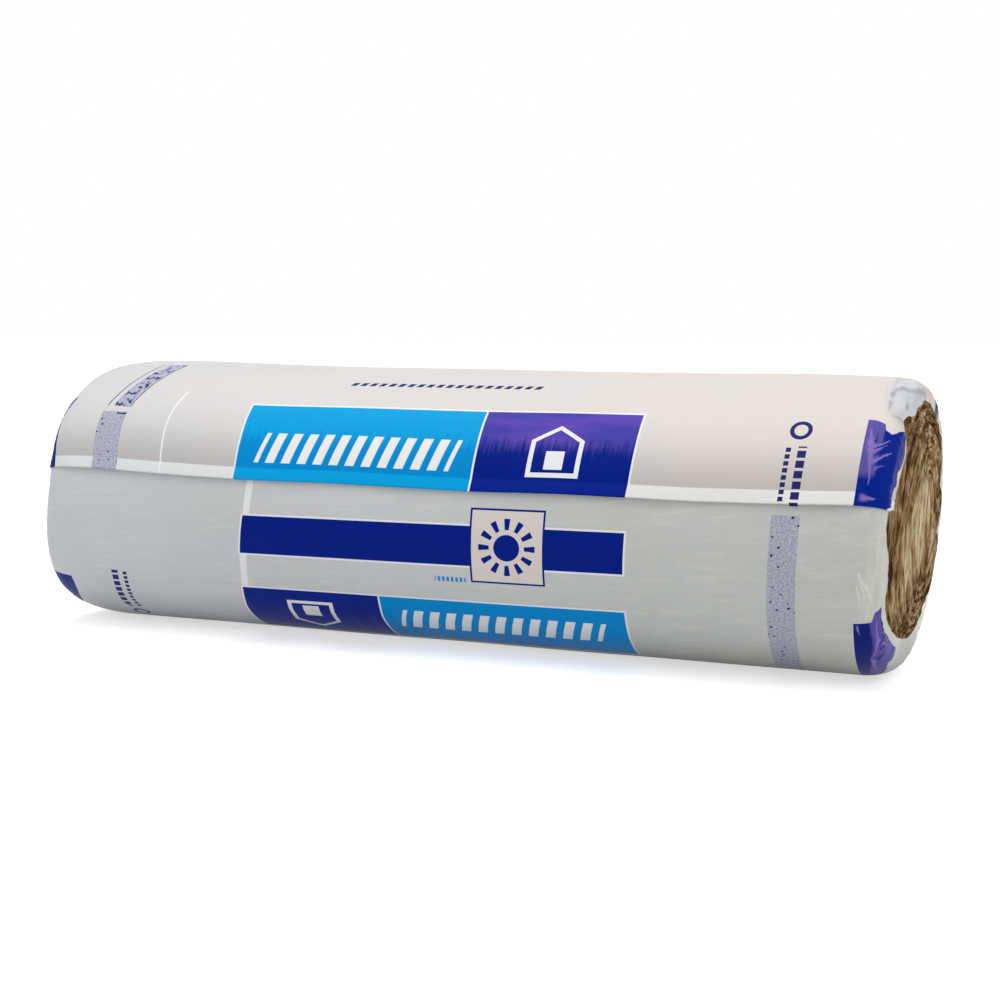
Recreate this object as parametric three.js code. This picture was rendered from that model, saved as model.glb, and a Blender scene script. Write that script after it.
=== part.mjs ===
// A roll of glass mineral wool insulation in its printed film, lying on the floor.
// Millimetres, +Z up. The roll's axis runs along X, its two ends face +X and -X, and the
// origin is on the floor under its middle. Pieces: the rolled-up blanket and the film round it.

import * as THREE from 'three';
import { ParametricGeometry } from 'three/addons/geometries/ParametricGeometry.js';
import { mergeVertices } from 'three/addons/utils/BufferGeometryUtils.js';

// ---- driving dimensions ------------------------------------------------------------------

const ROLL_LENGTH = 1186; // over the bulges of the two ends, of a blanket 1200 mm wide
const ROLL_RADIUS = 183.5; // over the film
const TURN_PITCH = 13.8; // a 100 mm blanket, pressed down to this by the rolling
const TURN_GROOVE = 4.5; // depth of the groove between one turn and the next
const EYE_DEPTH = 9; // dimple in the middle, where the first turn folds on itself
const LEAN = 0.058; // the turns have slid a little: both ends lean towards +X, per mm of height

// Each end: the wool swells out by bulge, the film presses the corner round over radial by
// axial, and the right end's turns have also slid out at the back and in at the top.
const ENDS = {
  right: {
    side: 1, bulge: 18, radial: 17.5, axial: 36, backOut: 0.078, topIn: 0.0134,
    hemRadii: [154, 156, 141, 147, 147, 140, 135, 122, 114, 108, 118, 133],
  },
  left: {
    side: -1, bulge: 27, radial: 15, axial: 62, backOut: 0, topIn: 0,
    hemRadii: [134, 131, 128, 130, 134, 137, 133, 128, 125, 128, 132, 136],
  },
};

const FILM_THICKNESS = 1.0; // stand-in for 0.1 mm polyethylene
const FILM_GAP = 0.8; // film to wool, so that no two facets touch
const PLY_GAP = 0.4; // between the two plies of the overlap
const FACET = 5; // degrees of turn for each facet of the film
const SEAM_ANGLE = 77.5; // degrees from the top towards the front, to the film's outer edge
const OVERLAP = 30; // degrees by which the film laps over its own beginning
const SETTLE = 15; // degrees over which the outer ply comes down beside the inner edge
const PLEATS = 18; // gathers round each hem
const PLEAT_HEIGHT = 2.2;

const WOOL_RADIUS = ROLL_RADIUS - FILM_THICKNESS - FILM_GAP;

// ---- materials ---------------------------------------------------------------------------

const wool = new THREE.MeshStandardMaterial({
  name: 'glass_mineral_wool', color: 0x9c865e, roughness: 0.95, metalness: 0,
});
const film = new THREE.MeshStandardMaterial({
  name: 'printed_polyethylene_film', color: 0xdedcd8, roughness: 0.35, metalness: 0,
});

// ---- shared shape of an end --------------------------------------------------------------

// Where the pressed corner meets the end's face.
const cornerRadius = (end) => WOOL_RADIUS - end.radial;

// Distance from the roll's middle plane to the end's skin, at this radius.
function endHeight(radius, end) {
  const round = THREE.MathUtils.clamp((radius - cornerRadius(end)) / end.radial, 0, 1);
  const bulge = end.bulge * (radius / WOOL_RADIUS) ** 2;
  return ROLL_LENGTH / 2 - bulge - end.axial * (1 - Math.sqrt(1 - round ** 2));
}

// A point of an end. radians are from the top towards the front. The turns have slid only
// inside the corner, so the slide fades out over it; skinRadius is where on the skin it is.
function endPoint(height, radius, radians, end, skinRadius = radius) {
  const y = -radius * Math.sin(radians);
  const z = radius * Math.cos(radians);
  const round = THREE.MathUtils.clamp((skinRadius - cornerRadius(end)) / end.radial, 0, 1);
  const slid = (end.backOut * y - end.topIn * z) * (Math.acos(round) / (Math.PI / 2));
  return new THREE.Vector3(end.side * (height + slid), y, z);
}

// A closed solid out of a surface whose ends and seam only meet: like corners become one
// vertex, and the triangles that this leaves with no area are dropped.
function closedSolid(surface) {
  surface.deleteAttribute('normal');
  surface.deleteAttribute('uv');
  const merged = mergeVertices(surface, 1e-3);
  const corners = merged.index.array;
  const kept = [];
  for (let i = 0; i < corners.length; i += 3) {
    const [a, b, c] = corners.slice(i, i + 3);
    if (a !== b && b !== c && c !== a) kept.push(a, b, c);
  }
  merged.setIndex(kept);
  merged.applyMatrix4(new THREE.Matrix4().makeShear(0, 0, 0, 0, LEAN, 0));
  merged.computeVertexNormals();
  return merged;
}

// ---- the rolled-up blanket ---------------------------------------------------------------

// The roll is turned from one profile, and then each ring of an end creeps outwards by one
// pitch in a full turn, so that it meets the next ring and the grooves run as one spiral.
function woolRoll() {
  const columns = 40;
  const turns = Math.ceil(WOOL_RADIUS / TURN_PITCH);
  const phases = [0, 0.3, 0.7]; // groove, then the two edges of the turn's crest

  const rings = [];
  for (let turn = -1; turn <= turns; turn += 1) {
    for (const phase of phases) rings.push({ turn, phase });
  }
  const stations = [
    ...rings.map((ring) => ({ ...ring, end: ENDS.left })),
    ...rings.toReversed().map((ring) => ({ ...ring, end: ENDS.right })),
  ];

  const place = (station, angle) => {
    const wound = station.turn + station.phase + angle / (2 * Math.PI);
    const radius = THREE.MathUtils.clamp(wound * TURN_PITCH, 0, WOOL_RADIUS);
    const groove = station.phase === 0 ? TURN_GROOVE : 0;
    const inner = THREE.MathUtils.smoothstep(radius, 0, TURN_PITCH);
    const outer = 1 - THREE.MathUtils.smoothstep(radius, WOOL_RADIUS - TURN_PITCH, WOOL_RADIUS);
    const eye = EYE_DEPTH * (1 - THREE.MathUtils.smoothstep(radius, 0, 2.5 * TURN_PITCH));
    const height = endHeight(radius, station.end) - groove * inner * outer - eye;
    return endPoint(height, radius, angle, station.end);
  };

  const surface = new THREE.LatheGeometry(
    stations.map((station) => {
      const start = place(station, 0);
      return new THREE.Vector2(start.z, start.x);
    }),
    columns,
  );
  const corners = surface.getAttribute('position');
  for (let i = 0; i < corners.count; i += 1) {
    const column = Math.floor(i / stations.length);
    const corner = place(stations[i % stations.length], (2 * Math.PI * column) / columns);
    corners.setXYZ(i, corner.x, corner.y, corner.z);
  }
  return closedSolid(surface);
}

// ---- the film ----------------------------------------------------------------------------

// Radius of the hem's edge on the end's face. It is measured every 30 degrees from the top.
function hemRadius(angle, end) {
  const step = THREE.MathUtils.euclideanModulo(angle, 360) / 30;
  const from = Math.floor(step);
  const share = THREE.MathUtils.smoothstep(step - from, 0, 1);
  return THREE.MathUtils.lerp(end.hemRadii[from % 12], end.hemRadii[(from + 1) % 12], share);
}

// Height and radius of a point of the hem, lift off the end's skin along its normal. reach
// goes from 0 at the barrel over the corner to 1 and across the face to 2 at the hem's edge.
function hemPoint(reach, angle, end, lift) {
  const along = (t) => {
    const inner = cornerRadius(end);
    const radius = t < 1
      ? inner + end.radial * Math.cos((t * Math.PI) / 2)
      : THREE.MathUtils.lerp(inner, hemRadius(angle, end), t - 1);
    return new THREE.Vector2(endHeight(radius, end), radius);
  };
  const step = 0.01;
  const tangent = along(reach + step).sub(along(Math.max(0, reach - step))).normalize();
  const normal = reach === 0 ? new THREE.Vector2(0, 1) : new THREE.Vector2(-tangent.y, tangent.x);
  return along(reach).addScaledVector(normal, lift);
}

// One sheet: it starts at its outer edge on the seam, runs up over the top, round the back and
// under the roll, and ends beneath itself. Across, it runs from hem to hem and back inside.
function filmSleeve() {
  const reaches = [0, 0.25, 0.5, 0.7, 0.86, 1, 1.5, 2];
  const hemRows = reaches.length - 1;
  const columns = (360 + OVERLAP) / FACET;
  const rows = 2 * hemRows + 1;
  const round = 2 * (rows + 1);

  const point = (row, turned, depth, target) => {
    const angle = SEAM_ANGLE - turned;
    const radians = THREE.MathUtils.degToRad(angle);
    const end = row <= hemRows ? ENDS.right : ENDS.left;
    const step = row <= hemRows ? hemRows - row : row - hemRows - 1;
    const share = step / hemRows;
    const plyStep = FILM_THICKNESS + PLY_GAP;
    const ply = plyStep * (1 - THREE.MathUtils.smoothstep(turned, OVERLAP, OVERLAP + SETTLE));
    const pleat = PLEAT_HEIGHT * share ** 1.5 * (1 - Math.cos(PLEATS * radians + share)) / 2;
    const skin = hemPoint(reaches[step], angle, end, 0);
    const spot = hemPoint(reaches[step], angle, end, FILM_GAP + ply + pleat + depth);
    target.copy(endPoint(spot.x, spot.y, radians, end, skin.y));
  };

  // The two long edges of the sheet close to a line halfway through its thickness.
  const surface = new ParametricGeometry(
    (across, around, target) => {
      const station = Math.round(across * round) % round;
      const column = Math.round(around * (columns + 2)) - 1;
      const turned = THREE.MathUtils.clamp(column, 0, columns) * FACET;
      const atEdge = column < 0 || column > columns;
      const inside = station <= rows;
      const row = inside ? station : round - 1 - station;
      const depth = atEdge ? FILM_THICKNESS / 2 : FILM_THICKNESS * (inside ? 0 : 1);
      point(row, turned, depth, target);
    },
    round,
    columns + 2,
  );
  return closedSolid(surface);
}

// ---- scene -------------------------------------------------------------------------------

const axisHeight = ROLL_RADIUS * Math.cos(THREE.MathUtils.degToRad(FACET / 2));

const roll = new THREE.Group();
roll.name = 'insulation_roll';
roll.position.z = axisHeight;

const woolMesh = new THREE.Mesh(woolRoll(), wool);
woolMesh.name = 'wool_roll';
roll.add(woolMesh);

const filmMesh = new THREE.Mesh(filmSleeve(), film);
filmMesh.name = 'film_sleeve';
roll.add(filmMesh);

export default roll;
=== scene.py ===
"""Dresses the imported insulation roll: the rolled-up glass wool and the printed film round it."""

import bisect
import math

import bmesh
import bpy
from mathutils import Matrix, Vector, noise


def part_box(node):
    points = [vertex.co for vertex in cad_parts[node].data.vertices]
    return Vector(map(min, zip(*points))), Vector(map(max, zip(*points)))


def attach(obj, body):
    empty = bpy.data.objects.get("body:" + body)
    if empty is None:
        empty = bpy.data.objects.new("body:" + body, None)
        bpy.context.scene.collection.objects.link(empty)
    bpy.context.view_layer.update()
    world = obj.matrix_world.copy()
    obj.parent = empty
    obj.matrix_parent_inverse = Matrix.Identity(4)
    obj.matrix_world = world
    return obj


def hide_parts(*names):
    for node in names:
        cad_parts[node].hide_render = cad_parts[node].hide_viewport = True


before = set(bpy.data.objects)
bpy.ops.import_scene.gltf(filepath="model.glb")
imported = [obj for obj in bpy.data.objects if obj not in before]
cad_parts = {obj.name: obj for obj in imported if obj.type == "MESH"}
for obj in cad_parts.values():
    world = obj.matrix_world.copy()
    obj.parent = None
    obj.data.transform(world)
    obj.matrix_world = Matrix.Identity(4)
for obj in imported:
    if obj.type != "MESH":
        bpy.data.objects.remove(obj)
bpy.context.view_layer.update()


# ---- Camera ------------------------------------------------------------------------------
# A long lens at a little above the roll's height, off its +X end, so that the print and
# the open end both show.

film_low, film_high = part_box("film_sleeve")
AXIS = Vector((0, 0, (film_low.z + film_high.z) / 2))

VIEW_TARGET = AXIS + Vector((0.007, 0, 0))
VIEW_AZIMUTH = math.radians(21.75)
VIEW_ELEVATION = math.radians(6.8)
VIEW_ROLL = math.radians(-0.27)
VIEW_DISTANCE = 2.239
SENSOR = 36.0
LENS = 1.662 * SENSOR

camera_data = bpy.data.cameras.new("camera")
camera_data.sensor_width = SENSOR
camera_data.lens = LENS
camera_data.shift_x = 0.0217
camera_data.shift_y = 0.0056
camera_data.clip_end = 50


def put_in_scene(name, data):
    """An object that shows this data, linked to the scene."""
    made = bpy.data.objects.new(name, data)
    bpy.context.scene.collection.objects.link(made)
    return made


camera = put_in_scene("camera", camera_data)
back = Vector((
    math.sin(VIEW_AZIMUTH) * math.cos(VIEW_ELEVATION),
    -math.cos(VIEW_AZIMUTH) * math.cos(VIEW_ELEVATION),
    math.sin(VIEW_ELEVATION),
))
camera.matrix_world = (
    Matrix.Translation(VIEW_TARGET + back * VIEW_DISTANCE)
    @ back.to_track_quat("Z", "Y").to_matrix().to_4x4()
    @ Matrix.Rotation(-VIEW_ROLL, 4, "Z")
)
bpy.context.scene.camera = camera


# ---- Wool roll ---------------------------------------------------------------------------
# A long blanket of brown glass mineral wool, 100 mm thick, rolled down to 13.8 mm a turn and
# held by the film. Its cut edges show at both ends as one spiral of ragged, layered fibre.

ROLL_LENGTH = 1.186
ROLL_RADIUS = 0.1835
FILM_STANDOFF = 0.0018
WOOL_RADIUS = ROLL_RADIUS - FILM_STANDOFF
TURN_PITCH = 0.0138
TURN_GROOVE = 0.0060
EYE_DEPTH = 0.003
LEAN = 0.058
BULGE = {1: 0.018, -1: 0.027}
CORNER = {1: (0.0175, 0.036), -1: (0.015, 0.062)}
BACK_OUT = {1: 0.078, -1: 0.0}
TOP_IN = {1: 0.0134, -1: 0.0}
FRONT_IN = {1: 0.0, -1: 0.0080}
SAGGED = {1: 0.0, -1: 0.0110}
PUFF = 0.0028
# Where the film's hem ends on each end: degrees round it from the top to the front, and radius.
HEM_RADII = {
    1: (
        (0, 0.1555), (9.7, 0.1564), (19.4, 0.1582), (25.3, 0.1571), (32.1, 0.1648), (36.1, 0.1706),
        (38.5, 0.1715), (40.4, 0.1494), (48.6, 0.1429), (58.5, 0.1453), (68.3, 0.1466), (75.3, 0.1491),
        (76.4, 0.1610), (82.4, 0.1605), (88.3, 0.1561), (98.3, 0.1453), (108.3, 0.1465),
        (118.6, 0.1548), (128.7, 0.1531), (138.9, 0.1466), (149.1, 0.1411), (159.4, 0.1368),
        (172, 0.1345), (187, 0.1335), (200, 0.1330), (209, 0.1110), (224, 0.1075), (236, 0.1000),
        (250, 0.0900), (264, 0.0910), (282.2, 0.1090), (301.8, 0.1243), (321.2, 0.1425), (340.6, 0.1502),
        (360, 0.1555),
    ),
    -1: (
        (0, 0.134), (30, 0.131), (60, 0.128), (90, 0.130), (120, 0.134), (150, 0.137), (180, 0.133),
        (210, 0.128), (240, 0.125), (270, 0.128), (300, 0.132), (330, 0.136), (360, 0.134),
    ),
}


def smooth(value, low, high):
    """0 below low, 1 above high and a smooth rise between them."""
    share = max(0.0, min(1.0, (value - low) / (high - low)))
    return share * share * (3 - 2 * share)


def corner_share(radius, side):
    """1 on the barrel, falling to 0 where the pressed corner meets the face of the end."""
    radial = CORNER[side][0]
    return max(0.0, min(1.0, (radius - (WOOL_RADIUS - radial)) / radial))


def end_height(radius, side):
    """Distance from the roll's middle plane to the skin of its end, at this radius."""
    bulge = BULGE[side] * (radius / WOOL_RADIUS) ** 2
    corner = CORNER[side][1] * (1 - math.sqrt(1 - corner_share(radius, side) ** 2))
    return ROLL_LENGTH / 2 - bulge - corner


def hem_radius(angle, side):
    """Radius of the hem's uneven edge on the face of the end."""
    degrees = min(math.degrees(angle) % 360, 359.99)
    spots = HEM_RADII[side]
    i = next(i for i, spot in enumerate(spots) if spot[0] > degrees)
    (start, low), (end, high) = spots[i - 1], spots[i]
    even = low + (high - low) * smooth(degrees, start, end)
    slow = 0.0014 * noise.noise(Vector((7 * math.cos(angle), 7 * math.sin(angle), 40.0 + side)))
    quick = 0.0006 * noise.noise(Vector((19 * math.cos(angle), 19 * math.sin(angle), 60.0 + side)))
    return even + slow + quick


def on_roll(x, radius, angle):
    """A point at this angle from the top towards the front, on the slightly leaning roll."""
    y, z = -radius * math.sin(angle), radius * math.cos(angle)
    return AXIS + Vector((x + LEAN * z, y, z))


def on_end(height, radius, angle, side, skin_radius):
    """A point of an end: its turns have slid to and fro, and sagged out near the floor."""
    y, z = -radius * math.sin(angle), radius * math.cos(angle)
    inside = math.acos(corner_share(skin_radius, side)) / (math.pi / 2)
    slid = BACK_OUT[side] * y - TOP_IN[side] * z + SAGGED[side] * smooth(-z, 0.02, 0.155)
    slid -= FRONT_IN[side] * math.exp(-(((z - 0.025) / 0.062) ** 2)) * smooth(-y, 0.02, 0.12)
    return on_roll(side * (height + slid * inside), radius, angle)


RINGS_A_TURN = 8
TURNS = math.ceil(WOOL_RADIUS / TURN_PITCH)
WOOL_RINGS = RINGS_A_TURN * (TURNS + 1)
WOOL_STATIONS = 2 * WOOL_RINGS + 1
WOOL_COLUMNS = 340
CRUSHED_CORE = 0.050
JOINT_WIDTH = 0.0023


def round_roll(turn_at, y, z, across, along, layer):
    """Noise drawn out round the roll: across is in turns, along in metres of the blanket."""
    return noise.noise(Vector((turn_at / across, y / along, z / along + layer)))


def uneven(turn_at, y, z):
    """The turn that is really here, as no turn is wound quite evenly."""
    slow = 0.26 * round_roll(turn_at, y, z, 4.0, 0.13, 7.0)
    return turn_at + slow + 0.12 * round_roll(turn_at, y, z, 1.2, 0.050, 19.0)


def joint_depth(turn_at, y, z):
    """1 in the middle of the gap between two turns, and 0 where the wool is whole."""
    real = uneven(turn_at, y, z)
    away = abs(real - round(real)) * TURN_PITCH
    open_here = 0.85 + 0.9 * round_roll(turn_at, y, z, 1.0, 0.06, 31.0)
    return max(0.0, open_here) * math.exp(-((away / JOINT_WIDTH) ** 2))


def torn_edge(turn_at, y, z):
    """How far the blanket's ragged cut edge stands out of the smooth skin of the end."""
    ragged = 0.0042 * round_roll(turn_at, y, z, 1.0, 0.075, 3.0)
    layers = 0.0056 * round_roll(turn_at, y, z, 0.36, 0.045, 11.0)
    fibre = 0.0026 * round_roll(turn_at, y, z, 0.16, 0.020, 47.0)
    return ragged + layers + fibre - TURN_GROOVE * joint_depth(turn_at, y, z)


bm = bmesh.new()
wound = bm.verts.layers.float_vector.new("wound")
joint = bm.verts.layers.float.new("joint")
level = bm.verts.layers.float.new("level")
bmesh.ops.create_grid(bm, x_segments=WOOL_STATIONS, y_segments=WOOL_COLUMNS, size=1)
for vert in bm.verts:
    station = round((vert.co.x + 1) / 2 * WOOL_STATIONS)
    share = (vert.co.y + 1) / 2
    side = 1 if station > WOOL_RINGS else -1
    ring = station if side < 0 else WOOL_STATIONS - station
    turned = 2 * math.pi * share
    wide = max(0.0, min(WOOL_RADIUS, (ring / RINGS_A_TURN - 1 + share) * TURN_PITCH))
    tall = wide + CRUSHED_CORE * (1 - wide / WOOL_RADIUS)
    y, z = -wide * math.sin(turned), tall * math.cos(turned)
    radius, angle = math.hypot(y, z), math.atan2(-y, z)
    turn_at = wide / TURN_PITCH
    free = smooth(hem_radius(angle, side) - radius, -0.001, 0.010)
    core = 1 - smooth(wide, 0.0, 1.5 * TURN_PITCH)
    lies_level = 1 - smooth(abs(math.sin(angle)), 0.20, 0.75)
    torn = torn_edge(turn_at, y, z) * (1 - core) * (1 - 0.6 * lies_level)
    height = end_height(radius, side) + (PUFF + torn) * free - EYE_DEPTH * core
    vert.co = on_end(height, radius, angle, side, radius)
    vert[wound] = Vector((uneven(turn_at, y, z) * TURN_PITCH - 0.8 * torn, y, z))
    vert[joint] = joint_depth(turn_at, y, z)
    vert[level] = lies_level
bmesh.ops.remove_doubles(bm, verts=bm.verts, dist=1e-6)
bmesh.ops.recalc_face_normals(bm, faces=bm.faces)
for face in bm.faces:
    face.smooth = True


def finished(name, bm):
    """The object that a mesh in the making becomes."""
    mesh = bpy.data.meshes.new(name)
    bm.to_mesh(mesh)
    bm.free()
    return put_in_scene(name, mesh)


wool = finished("wool", bm)


def paint(code):
    """An sRGB hex colour as the linear values that a shader takes."""
    parts = [int(code[i : i + 2], 16) / 255 for i in (1, 3, 5)]
    linear = [c / 12.92 if c <= 0.04045 else ((c + 0.055) / 1.055) ** 2.4 for c in parts]
    return (*linear, 1.0)


def new_material(name, roughness, specular):
    """A material, its node tree and its shader."""
    made = bpy.data.materials.new(name)
    made.use_nodes = True
    shader = made.node_tree.nodes["Principled BSDF"]
    shader.inputs["Roughness"].default_value = roughness
    shader.inputs["Specular IOR Level"].default_value = specular
    return made, made.node_tree, shader


def add(tree, kind, links=(), output=0, **settings):
    """Adds a shader node and gives this output of it. Settings are the node's properties, and
    links its inputs' values or sources."""
    made = tree.nodes.new("ShaderNode" + kind)
    for name, value in settings.items():
        setattr(made, name, value)
    for socket, source in dict(links).items():
        if isinstance(source, bpy.types.NodeSocket):
            tree.links.new(source, made.inputs[socket])
        else:
            made.inputs[socket].default_value = source
    return made.outputs[output]


# Glass wool with a brown bio-based binder: matt, its layers of fibre seen edge on as long streaks
# that follow the turns, with painted shade in the gaps and painted highlight on loose pale strands.
WOOL_GAP_SHADE = paint("#43290f")
WOOL_DARK = paint("#7c5c31")
WOOL_MID = paint("#b4946b")
WOOL_PALE = paint("#e6d2ab")
WOOL_STRAND_GLINT = paint("#fbf0cf")

glass_wool, tree, shader = new_material("glass_mineral_wool", roughness=0.95, specular=0.05)
# Layers 4 mm thick, fibres 2 mm thick and clumps of 22 mm, all drawn out along the blanket.
place = add(tree, "Attribute", attribute_name="wound", output="Vector")
layers_at = add(tree, "Mapping", {"Vector": place, "Scale": (1 / 0.0044, 1 / 0.055, 1 / 0.055)})
layers = add(tree, "TexNoise", {
    "Vector": layers_at, "Scale": 1.0, "Detail": 3.0, "Roughness": 0.55, "Distortion": 0.25,
})
fibres_at = add(tree, "Mapping", {"Vector": place, "Scale": (1 / 0.0019, 1 / 0.026, 1 / 0.026)})
fibres = add(tree, "TexNoise", {
    "Vector": fibres_at, "Scale": 1.0, "Detail": 3.0, "Roughness": 0.6, "Distortion": 0.4,
})
clumps_at = add(tree, "Mapping", {"Vector": place, "Scale": (1 / 0.022, 1 / 0.050, 1 / 0.050)})
clumps = add(tree, "TexNoise", {
    "Vector": clumps_at, "Scale": 1.0, "Detail": 2.0, "Roughness": 0.5,
})
whole = add(tree, "Math", {0: layers, 1: 0.46}, operation="MULTIPLY")
finer = add(tree, "Math", {0: fibres, 1: 0.32, 2: whole}, operation="MULTIPLY_ADD")
streaks = add(tree, "Math", {0: clumps, 1: 0.22, 2: finer}, operation="MULTIPLY_ADD")
# The wool is paler in a long oval that lies askew, a little in front of the core, and darker and
# browner away from it.
PALE_OVAL = (0, -0.040, 0.008)
PALE_OVAL_SIZE = (100, 0.056, 0.104)
PALE_OVAL_LEAN = math.radians(-34)
across_end = add(tree, "Mapping", {
    "Vector": place, "Location": PALE_OVAL, "Rotation": (PALE_OVAL_LEAN, 0, 0), "Scale": PALE_OVAL_SIZE,
}, vector_type="TEXTURE")
from_oval = add(tree, "VectorMath", {0: across_end}, operation="LENGTH", output="Value")
paler = add(tree, "MapRange", {
    "Value": from_oval, "From Min": 0.10, "From Max": 1.40, "To Min": 0.074, "To Max": -0.028,
})
lit = add(tree, "Math", {0: streaks, 1: paler}, operation="ADD")
# Painted shade: the tone is darkened in the gaps between turns, which the mesh also cuts in as grooves.
shaded_gap = add(tree, "Attribute", attribute_name="joint", output="Fac")
tone = add(tree, "Math", {0: shaded_gap, 1: -0.135, 2: lit}, operation="MULTIPLY_ADD")
# The saw that cut the ends has dragged loose fibre up and down across the turns, 12 mm wide and
# 80 mm long, most of all where they lie level over and under the core.
dragged_at = add(tree, "Mapping", {"Vector": place, "Scale": (1 / 0.020, 1 / 0.012, 1 / 0.080)})
dragged = add(tree, "TexNoise", {
    "Vector": dragged_at, "Scale": 1.0, "Detail": 4.0, "Roughness": 0.65, "Distortion": 0.3,
})
dragged = add(tree, "Math", {0: dragged, 1: 0.76, 2: 0.09}, operation="MULTIPLY_ADD")
dragged = add(tree, "Math", {0: dragged, 1: paler}, operation="ADD")
dragged = add(tree, "Math", {0: shaded_gap, 1: -0.05, 2: dragged}, operation="MULTIPLY_ADD")
lies_level = add(tree, "Attribute", attribute_name="level", output="Fac")
how_dragged = add(tree, "Math", {0: lies_level, 1: 0.52, 2: 0.28}, operation="MULTIPLY_ADD")
tone = add(tree, "Mix", {0: how_dragged, 2: tone, 3: dragged})
ramp = add(tree, "ValToRGB", {"Fac": tone})
stops = ramp.node.color_ramp.elements
stops[0].position, stops[0].color = 0.38, WOOL_GAP_SHADE
stops[1].position, stops[1].color = 0.64, WOOL_STRAND_GLINT
for position, colour in ((0.44, WOOL_DARK), (0.50, WOOL_MID), (0.56, WOOL_PALE)):
    stop = stops.new(position)
    stop.color = colour
# Loose strands, 1 mm wide and up to 75 mm long, lie along the layers: pale fibre, painted near white
# as highlight where they catch the light.
strands_at = add(tree, "Mapping", {"Vector": place, "Scale": (1 / 0.0060, 1 / 0.075, 1 / 0.075)})
strands = add(tree, "TexNoise", {
    "Vector": strands_at, "Scale": 1.0, "Detail": 2.0, "Roughness": 0.5, "Distortion": 0.5,
})
ridge = add(tree, "Math", {0: strands, 1: 0.5}, operation="SUBTRACT")
ridge = add(tree, "Math", {0: ridge}, operation="ABSOLUTE")
strand = add(tree, "MapRange", {
    "Value": ridge, "From Min": 0.0, "From Max": 0.022, "To Min": 0.75, "To Max": 0.0,
})
strand = add(tree, "Math", {0: strand, 1: layers}, operation="MULTIPLY")
closed = add(tree, "Math", {0: 1.0, 1: shaded_gap}, operation="SUBTRACT", use_clamp=True)
strand = add(tree, "Math", {0: strand, 1: closed}, operation="MULTIPLY")
wool_colour = add(tree, "Mix", {0: strand, 6: ramp, 7: WOOL_STRAND_GLINT}, data_type="RGBA", output=2)
tree.links.new(wool_colour, shader.inputs["Base Color"])
raised = add(tree, "Math", {0: strand, 1: 0.25, 2: streaks}, operation="MULTIPLY_ADD")
bump = add(tree, "Bump", {"Height": raised, "Strength": 0.8, "Distance": 0.010})
tree.links.new(bump, shader.inputs["Normal"])
wool.data.materials.append(glass_wool)

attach(wool, "root")
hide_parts("wool_roll")


# ---- Film sleeve -------------------------------------------------------------------------
# One sheet of white polyethylene film, printed before it was wrapped tight round the roll.
# It laps over its own beginning at the front, and its two hems are gathered over the ends.

FILM_THICKNESS = 0.0003
SEAM_ANGLE = math.radians(77.5)
OVERLAP = math.radians(30)
SETTLE = math.radians(15)
PLY_LIFT = 0.0009
WELD = 0.0165
ASKEW = 0.0092
LIP_FLARE = 0.0034
SWEEP = 2 * math.pi + OVERLAP
FLAT_WIDTH = 1.22
FLAT_LENGTH = SWEEP * ROLL_RADIUS
GATHERS = {1: 0.0016, -1: 0.0007}
# The outer edge doesn't run quite straight: how far above the seam line it is, along the roll.
EDGE_RISE = (
    (-0.62, 0.0125), (-0.487, 0.0114), (-0.442, 0.0094), (-0.379, 0.0067), (-0.318, 0.0048),
    (-0.25, 0.0030), (-0.12, 0.0029), (-0.05, 0.0013), (0.066, -0.0009), (0.18, 0.0003),
    (0.26, -0.0009), (0.343, -0.0024), (0.47, -0.0014), (0.53, 0.0003), (0.575, -0.0010), (0.62, -0.0040),
)
RIGHT_ROWS = 40
LEFT_ROWS = 26
BARREL_ROWS = 50
ROWS = LEFT_ROWS + BARREL_ROWS + RIGHT_ROWS
LIP_COLUMNS = 8
LIP_TURN = WELD / ROLL_RADIUS
COLUMNS = 400


def edge_rise(x):
    """How far above the seam line the outer edge is here."""
    i = next(i for i, spot in enumerate(EDGE_RISE) if spot[0] > x)
    (start, low), (end, high) = EDGE_RISE[i - 1], EDGE_RISE[i]
    return low + (high - low) * (x - start) / (end - start)


def wrapped_to(x, turned):
    """The angle that a point of the sheet is wrapped to: the sheet went on half a degree askew."""
    risen = edge_rise(x) * (1 - smooth(turned, 0.0, 1.2)) + ASKEW * x
    return SEAM_ANGLE - turned - risen / ROLL_RADIUS


def skin_line(side):
    """The skin of an end from the barrel inwards: its arc lengths, and (height, radius) there."""
    inner = WOOL_RADIUS - CORNER[side][0]
    radii = [inner + CORNER[side][0] * math.cos(i * math.pi / 240) for i in range(120)]
    radii += [inner - 0.001 * i for i in range(100)]
    line = [Vector((end_height(radius, side), radius)) for radius in radii]
    arcs = [0.0]
    for i in range(1, len(line)):
        arcs.append(arcs[-1] + (line[i] - line[i - 1]).length)
    return arcs, line


SKIN = {side: skin_line(side) for side in (1, -1)}


def on_skin(arc, side):
    """(height, radius) and its normal, this far over the end from the barrel."""
    arcs, line = SKIN[side]
    i = max(1, min(len(arcs) - 1, bisect.bisect_left(arcs, arc)))
    share = (arc - arcs[i - 1]) / (arcs[i] - arcs[i - 1])
    tangent = (line[min(i + 1, len(line) - 1)] - line[max(i - 2, 0)]).normalized()
    return line[i - 1].lerp(line[i], share), Vector((-tangent.y, tangent.x))


def hem_arc(angle, side):
    """How far the film reaches over the end, along its skin."""
    arcs, line = SKIN[side]
    radius = hem_radius(angle, side)
    i = next(i for i, spot in enumerate(line) if spot.y <= radius)
    return arcs[i] - (radius - line[i].y)


def round_sleeve(angle, along, layer):
    """Noise round the sleeve, in this share of its radius, the same where the round closes."""
    return noise.noise(Vector((math.cos(angle) / along, math.sin(angle) / along, layer)))


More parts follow.
